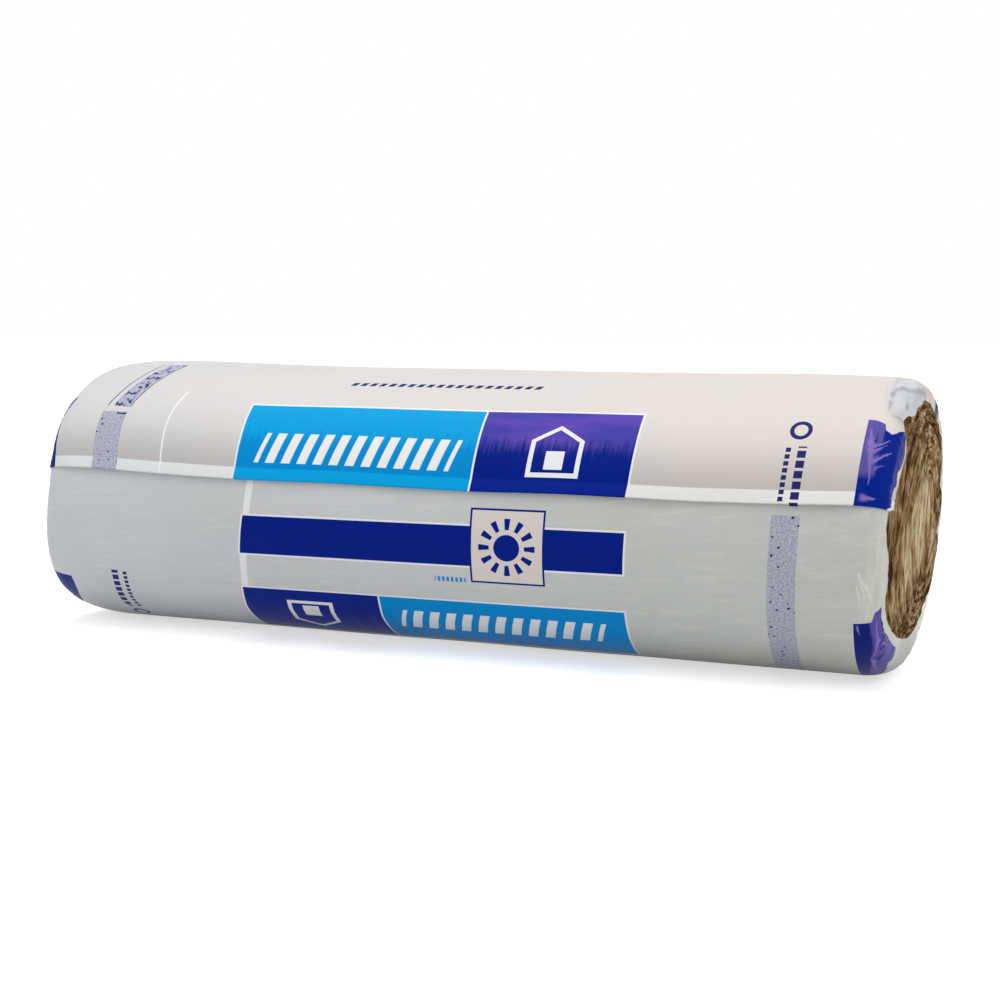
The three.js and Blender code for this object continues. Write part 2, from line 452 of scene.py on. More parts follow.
def bunched(arc, angle):
    """How far the bunch of gathered film stands out, near the top of the right end."""
    degrees = (math.degrees(angle) + 180) % 360 - 180
    off = math.hypot((arc - 0.030) / 0.026, (degrees - 20) / 19)
    if off > 1.6:
        return 0.0
    rim = 0.0038 * math.exp(-(((off - 0.92) / 0.14) ** 2)) * smooth(degrees, -2, 12)
    around = angle * ROLL_RADIUS
    broad = 0.0038 * noise.noise(Vector((arc / 0.020, around / 0.030, 15.0)))
    small = 0.0014 * noise.noise(Vector((arc / 0.010, around / 0.015, 16.0)))
    return rim + (0.0022 + broad + small) * (1 - smooth(off, 0.75, 1.15))


def crumple(x, angle, arc, share, side):
    """How far the film stands out in dents, wrinkles and the gathers of its hems."""
    dents = 0.0005 * noise.noise(Vector((x / 0.15, 1.6 * math.cos(angle), 1.6 * math.sin(angle))))
    slack = 0.0042 * math.exp(-(((x + 0.43) / 0.12) ** 2))
    slack += 0.0022 * math.exp(-(((x - 0.43) / 0.10) ** 2))
    slack *= smooth(math.cos(angle), 0.0, 0.8)
    if share <= 0:
        return dents + slack
    fold = round_sleeve(angle, 0.075, 20.0 + 0.9 * share)
    fold += 0.5 * round_sleeve(angle, 0.03, 25.0 + 1.5 * share)
    over_corner = smooth(share, 0.25, 0.8) * (1 - 0.6 * smooth(share, 0.85, 1.0))
    gathered = GATHERS[side] * (1 - min(1.0, abs(2.2 * fold))) * over_corner
    if side > 0:
        gathered += max(-0.0012, bunched(arc, angle))
    return dents + slack * (1 - share) + gathered


bm = bmesh.new()
flat_map = bm.loops.layers.uv.new("film_flat")
bmesh.ops.create_grid(bm, x_segments=ROWS, y_segments=COLUMNS, size=1)
barrel_end = {side: end_height(WOOL_RADIUS, side) for side in (1, -1)}
hem_arcs = {}
flat_at = {}
for vert in bm.verts:
    row = round((vert.co.x + 1) / 2 * ROWS)
    column = round((vert.co.y + 1) / 2 * COLUMNS)
    if column <= LIP_COLUMNS:
        turned = LIP_TURN * column / LIP_COLUMNS
    else:
        turned = LIP_TURN + (SWEEP - LIP_TURN) * (column - LIP_COLUMNS) / (COLUMNS - LIP_COLUMNS)
    if row < LEFT_ROWS:
        side, share = -1, 1 - row / LEFT_ROWS
    elif row > LEFT_ROWS + BARREL_ROWS:
        side, share = 1, 1 - (ROWS - row) / RIGHT_ROWS
    else:
        side, share = 0, 0.0
    if side == 0:
        flat_x = -barrel_end[-1] + (barrel_end[-1] + barrel_end[1]) * (row - LEFT_ROWS) / BARREL_ROWS
    else:
        flat_x = side * (barrel_end[side] + (FLAT_WIDTH / 2 - barrel_end[side]) * share)
    angle = wrapped_to(flat_x, turned)
    wavy = 1 + 0.5 * noise.noise(Vector((row / 6, 0.0, 50.0)))
    wavy *= 1 - 0.75 * smooth(abs(flat_x), 0.50, 0.56)
    lip = LIP_FLARE * wavy * max(0.0, 1 - turned * ROLL_RADIUS / WELD)
    ply = PLY_LIFT * (1 - smooth(turned, OVERLAP, OVERLAP + SETTLE))
    stand_off = FILM_STANDOFF * (1 - 0.6 * smooth(share, 0.7, 1.0)) + ply + lip
    if side == 0:
        lift = stand_off + crumple(flat_x, angle, 0.0, 0.0, 0)
        vert.co = on_roll(flat_x, WOOL_RADIUS + lift, angle)
    else:
        if (column, side) not in hem_arcs:
            hem_arcs[column, side] = hem_arc(wrapped_to(side * FLAT_WIDTH / 2, turned), side)
        arc = share * hem_arcs[column, side]
        skin, normal = on_skin(arc, side)
        spot = skin + normal * (stand_off + crumple(flat_x, angle, arc, share, side))
        vert.co = on_end(spot.x, spot.y, angle, side, skin.y)
    vert.co.z = max(vert.co.z, 0.0)
    flat_at[vert] = (flat_x / FLAT_WIDTH + 0.5, turned / SWEEP)
for face in bm.faces:
    face.smooth = True
    for loop in face.loops:
        loop[flat_map].uv = flat_at[loop.vert]
bmesh.ops.recalc_face_normals(bm, faces=bm.faces)
film = finished("film", bm)
solid = film.modifiers.new("thickness", "SOLIDIFY")
solid.thickness = FILM_THICKNESS
solid.offset = -1

# Polyethylene film, blown and printed in three inks on its outside: satin, with a soft sheen,
# and drawn so tight that fine wrinkles run round the roll.
FILM_WARM_LIT = paint("#e6ddd7")
FILM_COOL = paint("#d9d9d9")
FILM_TIGHT_SHADED_WARM = paint("#cccfc8")
FILM_TIGHT_SHADED_COOL = paint("#d5d9de")
INK_WHITE = paint("#f4f4f5")
INK_CYAN = paint("#0090d9")
INK_CYAN_LIT = paint("#00a4e4")
INK_NAVY = paint("#001f88")
INK_NAVY_WELD_LIT = paint("#002390")
INK_NAVY_SHEEN = paint("#4642a8")
INK_NAVY_VIOLET_SHEEN = paint("#6249b4")
INK_PATCH = paint("#00248f")
INK_DEEP = paint("#0b1f78")
INK_PATCH_REFLECTION = paint("#5f55a6")
INK_CREASE_HIGHLIGHT = paint("#9580ca")
INK_LILAC = paint("#a0a5bd")
INK_TEXT = paint("#2b2b70")
INK_FAR_SHADED = paint("#22224a")
FILM_FOLDED = paint("#ced2d8")
FILM_PLEATED = paint("#f0ebe0")
FILM_SHADED = paint("#a9acb6")

printed_film, tree, shader = new_material("printed_polyethylene_film", roughness=0.42, specular=0.05)
shader.inputs["IOR"].default_value = 1.5

# The sheet's own flat metres: along the roll from its middle, and round it from the outer edge.
flat_uv = add(tree, "UVMap", uv_map="film_flat")
flat = add(tree, "Mapping", {
    "Vector": flat_uv, "Location": (-FLAT_WIDTH / 2, 0, 0), "Scale": (FLAT_WIDTH, FLAT_LENGTH, 1),
})
along_roll = add(tree, "SeparateXYZ", {0: flat})
round_roll_by = add(tree, "SeparateXYZ", {0: flat}, output="Y")


def drawn_line(at, spots):
    """A line through these (at, value) spots in metres, straight between them."""
    starts = [spot[0] for spot in spots]
    values = [spot[1] for spot in spots]
    low, high = min(values), max(values)
    share = add(tree, "MapRange", {"Value": at, "From Min": starts[0], "From Max": starts[-1]})
    line = add(tree, "FloatCurve", {"Value": share})
    points = line.node.mapping.curves[0].points
    for start, value in spots[1:-1]:
        points.new((start - starts[0]) / (starts[-1] - starts[0]), (value - low) / (high - low))
    points[0].location = (0.0, (values[0] - low) / (high - low))
    points[-1].location = (1.0, (values[-1] - low) / (high - low))
    for point in points:
        point.handle_type = "VECTOR"
    line.node.mapping.update()
    return add(tree, "Math", {0: line, 1: high - low, 2: low}, operation="MULTIPLY_ADD")


# The print of the -X half is drawn towards the middle: 5 mm at the weld, 26 mm under the seam.
crept = drawn_line(round_roll_by, (
    (0.0, 0.005), (0.090, 0.0), (0.960, 0.0), (1.005, 0.008), (1.056, 0.0155), (1.112, 0.0235),
    (1.153, 0.026), (FLAT_LENGTH, 0.026),
))
how_crept = add(tree, "MapRange", {"Value": along_roll, "From Min": 0.35, "From Max": -0.30})
crept = add(tree, "Math", {0: crept, 1: how_crept}, operation="MULTIPLY")
print_x = add(tree, "Math", {0: along_roll, 1: crept}, operation="SUBTRACT")

# The print repeats round the sleeve. Each repeat has one line through its middle, and the
# half below that line is the half above it turned upside down.
REPEAT = 0.583
FIRST_MIDDLE = -0.082
TURN_ABOUT = -0.004
from_first = add(tree, "Math", {0: round_roll_by, 1: FIRST_MIDDLE}, operation="SUBTRACT")
up = add(tree, "Math", {0: from_first, 1: -REPEAT / 2, 2: REPEAT / 2}, operation="WRAP")
half = add(tree, "Math", {0: up}, operation="SIGN")
from_axis = add(tree, "Math", {0: print_x, 1: TURN_ABOUT}, operation="SUBTRACT")
turned_x = add(tree, "Math", {0: from_axis, 1: half}, operation="MULTIPLY")
turned_up = add(tree, "Math", {0: up}, operation="ABSOLUTE")


def where_all(first, *others):
    """1 where all these masks are 1."""
    where = first
    for mask in others:
        where = add(tree, "Math", {0: where, 1: mask}, operation="MULTIPLY")
    return where


def printed_block(x, y, left, right, low, high):
    """Where a rectangle is printed: 1 inside it. x and y are the flat metres that it is set in."""
    across = {0: x, 1: (left + right) / 2, 2: (right - left) / 2}
    upright = {0: y, 1: (low + high) / 2, 2: (high - low) / 2}
    in_width = add(tree, "Math", across, operation="COMPARE")
    return where_all(in_width, add(tree, "Math", upright, operation="COMPARE"))


def lay_ink(under, ink, *masks):
    """The film's colour once this ink is laid over it, where all the masks are 1."""
    # A colour mix takes its share in socket 0 and its two colours in 6 and 7.
    return add(tree, "Mix", {0: where_all(*masks), 6: under, 7: ink}, data_type="RGBA", output=2)


def lay_blocks(under, x, y, *blocks):
    """The film's colour once these (ink, left, right, low, high) rectangles are laid over it."""
    for ink, *sides in blocks:
        under = lay_ink(under, ink, printed_block(x, y, *sides))
    return under


def repeats(value, spacing, filled, offset=0.0):
    """1 over the filled share of each spacing."""
    counted = add(tree, "Math", {0: value, 1: 1 / spacing, 2: offset}, operation="MULTIPLY_ADD")
    share = add(tree, "Math", {0: counted}, operation="FRACT")
    return add(tree, "Math", {0: share, 1: filled}, operation="LESS_THAN")


# The bare film is painted warmer towards its +X end, in patches of about 200 mm, as painted warm
# light. Where it lies tight on the wool it is painted greyer: partly the brown showing through, partly
# painted shade.
tint_at = add(tree, "Mapping", {"Vector": flat, "Scale": (1 / 0.25, 1 / 0.20, 1)})
tint = add(tree, "TexNoise", {"Vector": tint_at, "Scale": 1.0, "Detail": 2.0})
warm_light = add(tree, "Math", {0: along_roll, 1: 0.85, 2: tint}, operation="MULTIPLY_ADD")
tight = add(tree, "MapRange", {"Value": round_roll_by, "From Min": 0.35, "From Max": 0.75})
loose_film = lay_ink(FILM_COOL, FILM_WARM_LIT, warm_light)
tight_shaded_film = lay_ink(FILM_TIGHT_SHADED_COOL, FILM_TIGHT_SHADED_WARM, warm_light)
colour = lay_ink(loose_film, tight_shaded_film, tight)

# Painted shade darkens it where it lies on its own lower ply, up to 70 mm from its outer edge, and it
# is darker along the top.
ply_shade_darker_top = drawn_line(round_roll_by, (
    (0.0, 0.74), (0.012, 0.74), (0.070, 0.99), (0.100, 1.0), (0.220, 0.87), (0.330, 0.90), (0.450, 1.0),
    (FLAT_LENGTH, 1.0),
))
colour = add(tree, "VectorMath", {0: colour, "Scale": ply_shade_darker_top}, operation="SCALE")

# Air under the tight part shows as faint pale ripples along the roll, about 9 mm apart.
ripples_at = add(tree, "Mapping", {
    "Vector": flat, "Rotation": (0, 0, math.radians(4)), "Scale": (0.060, 0.009, 1),
}, vector_type="TEXTURE")
ripples = add(tree, "TexNoise", {
    "Vector": ripples_at, "Scale": 1.0, "Detail": 3.0, "Roughness": 0.6, "Distortion": 0.8,
})
ripples = add(tree, "MapRange", {
    "Value": ripples, "From Min": 0.50, "From Max": 0.74, "To Min": 0.0, "To Max": 0.30,
})
colour = lay_ink(colour, FILM_PLEATED, ripples, tight)

# The weld along the outer edge, 16.5 mm wide, is drawn smooth and tilts up: it is painted brighter, as
# painted light.
weld = add(tree, "Math", {0: round_roll_by, 1: WELD}, operation="LESS_THAN")
WELD_SHEEN = (1.46, 1.56, 1.58)
lit_weld_film = add(tree, "VectorMath", {0: colour, 1: WELD_SHEEN}, operation="MULTIPLY")
colour = lay_ink(colour, lit_weld_film, weld)

# Painted reflection of the overhead light: over the upper part of the panels the inks are painted
# lighter and more violet, in streaks drawn out round the roll.
streaks_at = add(tree, "Mapping", {"Vector": flat, "Scale": (1 / 0.0045, 1 / 0.055, 1)})
drawn_out = add(tree, "TexNoise", {
    "Vector": streaks_at, "Scale": 1.0, "Detail": 2.0, "Roughness": 0.6,
})
painted_sheen = add(tree, "Math", {0: drawn_out, 1: 0.05, 2: up}, operation="MULTIPLY_ADD")
painted_sheen = add(tree, "MapRange", {"Value": painted_sheen, "From Min": 0.158, "From Max": 0.178})
# On the dark ink this painted reflection turns more violet in broad flat patches.
violet_sheen_at = add(tree, "Mapping", {"Vector": flat, "Scale": (1 / 0.10, 1 / 0.022, 1)})
violet_sheen = add(tree, "TexNoise", {"Vector": violet_sheen_at, "Scale": 1.0, "Detail": 2.0})
violet_sheen = add(tree, "MapRange", {"Value": violet_sheen, "From Min": 0.40, "From Max": 0.62})
# Over the weld the inks are laid in lighter copies, as painted light.
ink_light = lay_ink(lay_ink(INK_CYAN, INK_CYAN_LIT, painted_sheen), INK_CYAN_LIT, weld)
ink_dark = lay_ink(INK_NAVY, INK_NAVY_WELD_LIT, weld)
ink_dark = lay_ink(ink_dark, lay_ink(INK_NAVY_SHEEN, INK_NAVY_VIOLET_SHEEN, violet_sheen), painted_sheen)

# Colour panels, their thin white outlines, the navy stripe and the white rail that ties them.
OUTLINE = 0.0026
left, right, low, high = -0.268, 0.268, 0.082, 0.193
divider = 0.066
colour = lay_blocks(
    colour, turned_x, turned_up,
    (INK_WHITE, left - OUTLINE, right + OUTLINE, low - OUTLINE, high + OUTLINE),
    (ink_light, left, divider - OUTLINE / 2, low, high),
    (ink_dark, divider + OUTLINE / 2, right, low, high),
)
left, right, half_width, rail_width = -0.272, 0.264, 0.026, 0.010
colour = lay_blocks(
    colour, print_x, turned_up,
    (INK_WHITE, left, left + rail_width, half_width, 0.079),
    (INK_WHITE, left - OUTLINE, right + OUTLINE, -half_width - OUTLINE, half_width + OUTLINE),
    (INK_NAVY, left, right, -half_width, half_width),
)

# A row of plain slanted bars on each light panel.
BAR_SLANT = -0.28
bar_x = add(tree, "Math", {0: turned_up, 1: BAR_SLANT, 2: turned_x}, operation="MULTIPLY_ADD")
bars = printed_block(bar_x, turned_up, -0.272, 0.004, 0.106, 0.148)
colour = lay_ink(colour, INK_WHITE, bars, repeats(bar_x, spacing=0.023, filled=0.56, offset=0.1))

# A plain house on each dark panel: a gable outline with a square opening.
HOUSE_X = 0.170
HOUSE_HALF_WIDTH = 0.034
HOUSE_BASE = 0.102
HOUSE_RIDGE = 0.172
ROOF_SLOPE = 0.62
HOUSE_LINE = 0.006
aside = add(tree, "Math", {0: turned_x, 1: HOUSE_X}, operation="SUBTRACT")
aside = add(tree, "Math", {0: aside}, operation="ABSOLUTE")
to_wall = add(tree, "Math", {0: HOUSE_HALF_WIDTH, 1: aside}, operation="SUBTRACT")
to_base = add(tree, "Math", {0: turned_up, 1: HOUSE_BASE}, operation="SUBTRACT")
slope = add(tree, "Math", {0: aside, 1: ROOF_SLOPE, 2: turned_up}, operation="MULTIPLY_ADD")
to_roof = add(tree, "Math", {0: HOUSE_RIDGE, 1: slope}, operation="SUBTRACT")
inside = add(tree, "Math", {0: to_wall, 1: to_base}, operation="MINIMUM")
inside = add(tree, "Math", {0: inside, 1: to_roof}, operation="MINIMUM")
gable = add(tree, "Math", {0: inside, 1: HOUSE_LINE / 2, 2: HOUSE_LINE / 2}, operation="COMPARE")
colour = lay_ink(colour, INK_WHITE, gable)
half_width = 0.012
opening = (INK_WHITE, HOUSE_X - half_width, HOUSE_X + half_width, 0.112, 0.136)
colour = lay_blocks(colour, turned_x, turned_up, opening)

# A framed sun on the stripe, for a blanket that keeps the summer out.
SUN_X = 0.118
SUN_FRAME = 0.049
FRAME_LINE = 0.0026
SUN_DISC = 0.017
SUN_RAYS = 0.030
RAY_LENGTH = 0.014
sun_x = add(tree, "Math", {0: along_roll, 1: SUN_X}, operation="SUBTRACT")
sun_far_x = add(tree, "Math", {0: sun_x}, operation="ABSOLUTE")
to_edge = add(tree, "Math", {0: sun_far_x, 1: turned_up}, operation="MAXIMUM")
framed = add(tree, "Math", {0: to_edge, 1: SUN_FRAME}, operation="LESS_THAN")
colour = lay_ink(colour, FILM_WARM_LIT, framed)
sides = {0: to_edge, 1: SUN_FRAME - FRAME_LINE / 2, 2: FRAME_LINE / 2}
frame_line = add(tree, "Math", sides, operation="COMPARE")
colour = lay_ink(colour, INK_NAVY, frame_line)
sun_at = add(tree, "CombineXYZ", {0: sun_x, 1: up})
sun_far = add(tree, "VectorMath", {0: sun_at}, operation="LENGTH", output="Value")
sun_round = add(tree, "Math", {0: up, 1: sun_x}, operation="ARCTAN2")
disc = add(tree, "Math", {0: sun_far, 1: SUN_DISC}, operation="LESS_THAN")
colour = lay_ink(colour, INK_NAVY, disc)
ring_band = add(tree, "Math", {0: sun_far, 1: SUN_RAYS, 2: RAY_LENGTH / 2}, operation="COMPARE")
rays = repeats(sun_round, spacing=math.pi / 6, filled=0.42, offset=0.21)
colour = lay_ink(colour, INK_NAVY, ring_band, rays)

# A line of small slanted dashes above the panels, and the printer's cyan marks below.
dash_x = add(tree, "Math", {0: up, 1: -0.5, 2: along_roll}, operation="MULTIPLY_ADD")
dashes = printed_block(along_roll, turned_up, -0.150, 0.120, 0.240, 0.248)
colour = lay_ink(colour, INK_TEXT, dashes, repeats(dash_x, spacing=0.0135, filled=0.6))
marks = printed_block(along_roll, up, 0.020, 0.062, -0.050, -0.043)
colour = lay_ink(colour, INK_CYAN, marks, repeats(along_roll, spacing=0.006, filled=0.55))

# Handling marks near the ends: a ring with a broken double line under it.
RING_AT = (0.462, 0.174, 0)
RING_RADIUS = 0.0105
RING_LINE = 0.005
turned_at = add(tree, "CombineXYZ", {0: turned_x, 1: turned_up})
from_ring = add(tree, "VectorMath", {0: turned_at, 1: RING_AT}, operation="DISTANCE", output="Value")
ring = add(tree, "Math", {0: from_ring, 1: RING_RADIUS, 2: RING_LINE / 2}, operation="COMPARE")
colour = lay_ink(colour, INK_TEXT, ring)
thick = printed_block(turned_x, turned_up, 0.463, 0.473, 0.066, 0.152)
colour = lay_ink(colour, INK_TEXT, thick, repeats(turned_up, spacing=0.0125, filled=0.72))
thin = printed_block(turned_x, turned_up, 0.449, 0.455, 0.066, 0.152)
colour = lay_ink(colour, INK_TEXT, thin, repeats(turned_up, spacing=0.0085, filled=0.66))

# The film's -X end is drawn askew round the roll, by up to 11 mm one way and 36 mm the other.
askew = drawn_line(round_roll_by, (
    (-0.05, 0.001), (0.004, 0.0), (0.030, -0.005), (0.060, -0.0095), (0.085, -0.0105), (0.105, -0.008),
    (0.126, -0.002), (0.146, 0.003), (0.163, 0.0095), (0.191, 0.0175), (0.2175, 0.026), (0.26, 0.036),
    (0.33, 0.036), (0.45, 0.015), (0.583, 0.0),
))
how_far = add(tree, "MapRange", {"Value": along_roll, "From Min": -0.22, "From Max": -0.42})
askew = add(tree, "Math", {0: askew, 1: how_far}, operation="MULTIPLY")
drawn_x = add(tree, "Math", {0: along_roll, 1: askew}, operation="SUBTRACT")

# Bands of speckle, 40 mm and 33 mm wide: fine below and coarse above on the wide one. A thin
# white line guides the slitting.
speckle_at = add(tree, "Mapping", {"Vector": flat, "Scale": (1 / 0.0026, 1 / 0.0026, 1)})
speckle = add(tree, "TexNoise", {"Vector": speckle_at, "Scale": 1.0, "Detail": 1.0})
fleck_at = add(tree, "Mapping", {"Vector": flat, "Scale": (1 / 0.011, 1 / 0.011, 1)})
fleck = add(tree, "TexVoronoi", {"Vector": fleck_at, "Scale": 1.0})
flecks = add(tree, "Math", {0: fleck, 1: 0.15}, operation="LESS_THAN")
washed = add(tree, "MapRange", {
    "Value": speckle, "From Min": 0.40, "From Max": 0.60, "To Min": 1.0, "To Max": 0.45,
})
lilac = lay_ink(lay_ink(FILM_COOL, INK_LILAC, washed), INK_TEXT, flecks)
coarse_at = add(tree, "Mapping", {"Vector": flat, "Scale": (1 / 0.0075, 1 / 0.0075, 1)})
coarse = add(tree, "TexNoise", {"Vector": coarse_at, "Scale": 1.0, "Detail": 2.0})
blotted = add(tree, "MapRange", {"Value": coarse, "From Min": 0.52, "From Max": 0.62})
mottled = lay_ink(lilac, INK_TEXT, blotted)
colour = lay_blocks(
    colour, drawn_x, up,
    (lilac, -0.487, -0.4475, 0.0818, 0.1695),
    (INK_TEXT, -0.463, -0.4475, 0.165, 0.1675),
    (INK_TEXT, -0.4855, -0.4838, 0.1790, REPEAT / 2),
    (INK_TEXT, -0.4750, -0.4465, 0.1785, REPEAT / 2),
    (mottled, -0.4750, -0.4478, 0.1785, REPEAT / 2),
    (INK_WHITE, -0.3815, -0.3790, 0.0818, 0.212),
)
colour = lay_blocks(colour, along_roll, up, (lilac, 0.440, 0.473, -0.235, 0.055))

# The panels' inks start again near the ends, on the part of the hems that is folded in, and stop
# about 12 mm short of the edge. The folds have dragged the ink's own edges out of line, and on the
# far side they hide all but two lengths of it, 30 mm and 79 mm long, which are laid near black as painted
# shade.
top_edge = drawn_line(along_roll, (
    (0.530, 0.193), (0.544, 0.1915), (0.556, 0.188), (0.5575, 0.1795), (0.567, 0.1755), (0.574, 0.180),
    (0.577, 0.183), (0.597, 0.197), (0.612, 0.197),
))
outer_edge = drawn_line(turned_up, (
    (0.070, 0.594), (0.095, 0.594), (0.106, 0.5956), (0.118, 0.601), (0.131, 0.602), (0.134, 0.596),
    (0.141, 0.600), (0.155, 0.607), (0.180, 0.606), (0.200, 0.597),
))
below_top = add(tree, "Math", {0: up, 1: top_edge}, operation="LESS_THAN")
in_reach = add(tree, "Math", {0: along_roll, 1: outer_edge}, operation="LESS_THAN")
upper_patch = printed_block(along_roll, round_roll_by, 0.5315, 0.612, -0.001, 0.12)
upper_patch = where_all(upper_patch, below_top, in_reach)

fold_edge = drawn_line(along_roll, (
    (0.538, 0.075), (0.5715, 0.075), (0.5735, 0.0720), (0.5785, 0.062), (0.593, 0.058), (0.60, 0.058),
))
lower_edge = drawn_line(along_roll, (
    (0.538, 0.230), (0.5576, 0.230), (0.569, 0.204), (0.578, 0.176), (0.587, 0.184), (0.600, 0.184),
))
reach_edge = drawn_line(turned_up, (
    (0.050, 0.593), (0.0715, 0.591), (0.088, 0.593), (0.116, 0.596), (0.142, 0.598), (0.190, 0.598),
))
above_fold = add(tree, "Math", {0: turned_up, 1: fold_edge}, operation="GREATER_THAN")
above_low = add(tree, "Math", {0: turned_up, 1: lower_edge}, operation="LESS_THAN")
in_reach = add(tree, "Math", {0: along_roll, 1: reach_edge}, operation="LESS_THAN")
lower_patch = printed_block(along_roll, round_roll_by, 0.5405, 0.612, 0.854, 1.034)
lower_patch = where_all(lower_patch, above_fold, above_low, in_reach)
colour = lay_ink(colour, INK_PATCH, upper_patch)
colour = lay_ink(colour, INK_DEEP, lower_patch)
# Painted shade: the two far-side lengths of ink are laid near black.
colour = lay_blocks(
    colour, along_roll, round_roll_by,
    (INK_FAR_SHADED, 0.580, 0.612, 0.316, 0.346),
    (INK_FAR_SHADED, 0.572, 0.612, 0.566, 0.645),
)
colour = lay_blocks(colour, drawn_x, up, (INK_DEEP, -0.598, -0.5545, 0.0818, 0.205))

inner_edge = drawn_line(turned_up, (
    (0.080, -0.5385), (0.100, -0.5395), (0.120, -0.5430), (0.149, -0.5520), (0.195, -0.5660),
))
past_inner = add(tree, "Math", {0: along_roll, 1: inner_edge}, operation="LESS_THAN")
left_patch = printed_block(along_roll, up, -0.598, -0.530, -0.193, -0.0855)
colour = lay_ink(colour, INK_DEEP, past_inner, left_patch)

# Where the hem is creased its ink is painted purple, as painted reflection, and paler still along the
# creases, as painted highlight. Between them it keeps its own dark colour.
waver_at = add(tree, "Mapping", {"Vector": flat, "Scale": (1 / 0.012, 1 / 0.012, 1)})
waver = add(tree, "TexNoise", {"Vector": waver_at, "Scale": 1.0, "Detail": 2.0}, output="Color")
waver = add(tree, "VectorMath", {0: waver, 1: (0.5, 0.5, 0.5)}, operation="SUBTRACT")
creased = {0: waver, 1: (0.008, 0.008, 0), 2: flat}
creased = add(tree, "VectorMath", creased, operation="MULTIPLY_ADD")
creased_x = add(tree, "SeparateXYZ", {0: creased})


def crease(start, end, wide, strength=0.95, taper=0.8):
    """A crease in flat metres, this half wide at its start and narrower towards its end."""
    run = Vector((*end, 0)) - Vector((*start, 0))
    from_start = add(tree, "VectorMath", {0: creased, 1: (*start, 0)}, operation="SUBTRACT")
    along_it = {0: from_start, 1: run / run.length_squared}
    along_it = add(tree, "VectorMath", along_it, operation="DOT_PRODUCT", output="Value")
    along_it = add(tree, "Math", {0: along_it, 1: 0.0}, operation="ADD", use_clamp=True)
    nearest = add(tree, "VectorMath", {0: run, "Scale": along_it}, operation="SCALE")
    away = add(tree, "VectorMath", {0: from_start, 1: nearest}, operation="DISTANCE", output="Value")
    wide_here = add(tree, "Math", {0: along_it, 1: -taper * wide, 2: wide}, operation="MULTIPLY_ADD")
    return add(tree, "MapRange", {
        "Value": away, "From Min": 0.0, "From Max": wide_here, "To Min": strength, "To Max": 0.0,
    }, interpolation_type="SMOOTHSTEP")


def lay_creases(under, ink, patch, creases, **settings):
    """The film's colour once (start, end, half width, ...) creases of this ink are laid on a patch."""
    for spots in creases:
        under = lay_ink(under, ink, patch, crease(*spots, **settings))
    return under


upper_half = add(tree, "MapRange", {"Value": up, "From Min": 0.113, "From Max": 0.122})
reflection_edge = add(tree, "Math", {0: up, 1: 0.062, 2: 0.5465}, operation="MULTIPLY_ADD")
past_edge = add(tree, "Math", {0: reflection_edge, 1: creased_x}, operation="SUBTRACT")
reflecting = add(tree, "MapRange", {"Value": past_edge, "From Min": -0.0015, "From Max": 0.002})
colour = lay_ink(colour, INK_PATCH_REFLECTION, upper_patch, reflecting, upper_half)
reflection_edge = drawn_line(turned_up, (
    (0.050, 0.566), (0.079, 0.568), (0.109, 0.571), (0.141, 0.563), (0.195, 0.552), (0.230, 0.550),
))
past_edge = add(tree, "Math", {0: creased_x, 1: reflection_edge}, operation="SUBTRACT")
reflecting = add(tree, "MapRange", {"Value": past_edge, "From Min": -0.002, "From Max": 0.002})
colour = lay_ink(colour, INK_PATCH_REFLECTION, lower_patch, reflecting)
colour = lay_creases(colour, INK_CREASE_HIGHLIGHT, upper_patch, (
    ((0.5400, 0.0780), (0.5370, 0.0960), 0.0060, 0.60),
    ((0.5405, 0.0780), (0.5470, 0.0260), 0.0085, 0.70),
    ((0.5450, 0.0713), (0.5660, 0.0845), 0.0042, 0.90),
    ((0.5458, 0.0660), (0.5640, 0.0770), 0.0032, 0.80),
    ((0.5490, 0.0535), (0.5720, 0.0690), 0.0048, 0.90),
    ((0.5530, 0.0440), (0.5660, 0.0500), 0.0030, 0.60),
    ((0.5404, 0.0098), (0.5600, 0.0100), 0.0070, 0.80),
))
colour = lay_creases(colour, INK_PATCH, upper_patch, (
    ((0.5455, 0.0800), (0.5475, 0.0930), 0.0034),
    ((0.5590, 0.0765), (0.5455, 0.0690), 0.0032),
    ((0.5600, 0.0700), (0.5470, 0.0600), 0.0040),
    ((0.5560, 0.0540), (0.5500, 0.0450), 0.0036),
))
colour = lay_creases(colour, INK_CREASE_HIGHLIGHT, lower_patch, (
    ((0.5789, 0.9741), (0.5810, 1.0120), 0.0040),
    ((0.5789, 0.9741), (0.5660, 0.9430), 0.0045),
    ((0.5630, 0.9350), (0.5618, 0.8998), 0.0050),
    ((0.5480, 1.0049), (0.5491, 0.9900), 0.0040),
    ((0.5850, 0.9650), (0.5900, 0.9450), 0.0030),
))
colour = lay_creases(colour, INK_DEEP, lower_patch, (
    ((0.5919, 1.0051), (0.6010, 1.0113), 0.0045),
    ((0.5919, 1.0051), (0.5888, 0.9712), 0.0045),
    ((0.5802, 0.9667), (0.5928, 0.9766), 0.0036),
    ((0.5788, 0.9552), (0.5911, 0.9583), 0.0040),
    ((0.5710, 0.9337), (0.5802, 0.9409), 0.0085),
))

